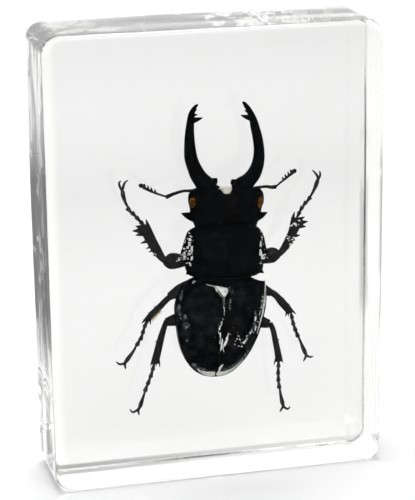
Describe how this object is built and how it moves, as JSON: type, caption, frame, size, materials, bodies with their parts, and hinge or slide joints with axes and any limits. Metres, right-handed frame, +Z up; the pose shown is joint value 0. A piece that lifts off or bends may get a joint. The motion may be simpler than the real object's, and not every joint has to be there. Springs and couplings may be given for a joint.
{
  "type": "insect in resin block",
  "caption": "Upright clear resin slab with rounded corners and polished faces, holding a black stag beetle set in its middle with its legs spread.",
  "frame": {"origin": "middle of the flat bottom face, on the surface the block stands on", "axes": "+Z up along the block's height, +X to the right seen from the front, +Y from the front face to the back face; the beetle's back faces -Y and its head is up"},
  "size_m": [0.082, 0.023, 0.1105],
  "materials": {
    "clear_resin": "polished clear casting resin",
    "black_cuticle": "gloss",
    "eye_amber": "gloss",
    "pale_membrane": "satin",
    "trapped_air": "silvery film of air between resin and cuticle"
  },
  "bodies": {
    "root": {"resin_block": "clear_resin"}
  },
  "joints": []
}
